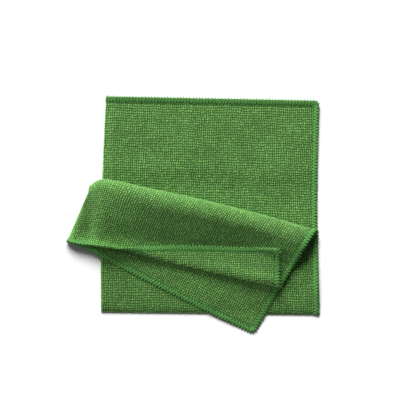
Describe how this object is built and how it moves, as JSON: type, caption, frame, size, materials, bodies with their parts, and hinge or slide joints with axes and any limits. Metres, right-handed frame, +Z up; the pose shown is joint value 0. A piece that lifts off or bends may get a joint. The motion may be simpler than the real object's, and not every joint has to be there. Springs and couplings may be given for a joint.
{
  "type": "folded microfibre cloth",
  "caption": "Square terry microfibre cloth with an overlocked edge, folded into a quarter, its upper layers turned back over a soft slanted loop with one corner folded back.",
  "frame": {"origin": "on the surface the cloth lies on, under the middle of its outline", "axes": "+Z up, away from the surface; +X runs along the bottom fold, from the side fold towards the open edges; +Y from the bottom fold towards the open end"},
  "size_m": [0.2334, 0.218, 0.025],
  "materials": {
    "microfibre": "grass green looped microfibre terry, matt with a soft sheen",
    "overlock_thread": "green textured polyester overlock thread"
  },
  "bodies": {
    "root": {"cloth": "microfibre"}
  },
  "joints": []
}
